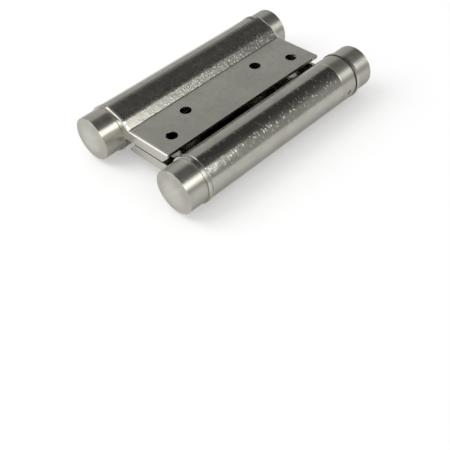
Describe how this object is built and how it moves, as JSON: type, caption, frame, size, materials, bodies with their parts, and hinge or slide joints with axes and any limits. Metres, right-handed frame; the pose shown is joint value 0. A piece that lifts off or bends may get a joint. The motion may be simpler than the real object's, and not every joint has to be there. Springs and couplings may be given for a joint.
{
  "type": "double action spring hinge",
  "caption": "Double action spring hinge: sprung barrels on a centre web, with screw leaves that swing to either side.",
  "frame": {"origin": "half way between the two barrel axes and half way up the leaves, on the web's mid plane", "axes": "+X from the left barrel to the right one, +Y along the barrels towards the tension collars, +Z out of the closed left leaf"},
  "size_m": [0.0766, 0.122, 0.0254],
  "materials": {
    "plated_web": "nickel plated, lightly mottled gloss",
    "plated_leaf": "nickel plated, satin",
    "plated_cap": "nickel plated, satin crown and glossy side",
    "plated_collar": "nickel plated gloss",
    "plain_steel": "zinc plated, satin",
    "spring_steel": "oiled wire"
  },
  "bodies": {
    "web": {"centre_web": "plated_web", "left_anchor_plug": "plain_steel", "left_spring": "spring_steel", "right_anchor_plug": "plain_steel", "right_spring": "spring_steel"},
    "left_leaf": {"left_leaf": "plated_leaf", "left_spindle": "plain_steel", "left_plain_cap": "plated_cap", "left_collar_cap": "plated_cap", "left_plain_washer": "plain_steel", "left_collar_washer": "plain_steel"},
    "left_collar": {"left_tension_collar": "plated_collar"},
    "right_leaf": {"right_leaf": "plated_leaf", "right_spindle": "plain_steel", "right_plain_cap": "plated_cap", "right_collar_cap": "plated_cap", "right_plain_washer": "plain_steel", "right_collar_washer": "plain_steel"},
    "right_collar": {"right_tension_collar": "plated_collar"}
  },
  "joints": [
    {"name": "left_leaf_swing", "type": "hinge", "parent": "web", "child": "left_leaf", "pos_m": [-0.027, 0, 0], "axis": [0, -1, 0], "range_deg": [0, 180], "stiffness_Nm_per_rad": 0.3},
    {"name": "left_collar_turn", "type": "hinge", "parent": "left_leaf", "child": "left_collar", "pos_m": [-0.027, 0, 0], "axis": [0, -1, 0], "range_deg": [0, 360]},
    {"name": "right_leaf_swing", "type": "hinge", "parent": "web", "child": "right_leaf", "pos_m": [0.027, 0, 0], "axis": [0, -1, 0], "range_deg": [0, 180], "stiffness_Nm_per_rad": 0.3},
    {"name": "right_collar_turn", "type": "hinge", "parent": "right_leaf", "child": "right_collar", "pos_m": [0.027, 0, 0], "axis": [0, -1, 0], "range_deg": [0, 360]}
  ]
}
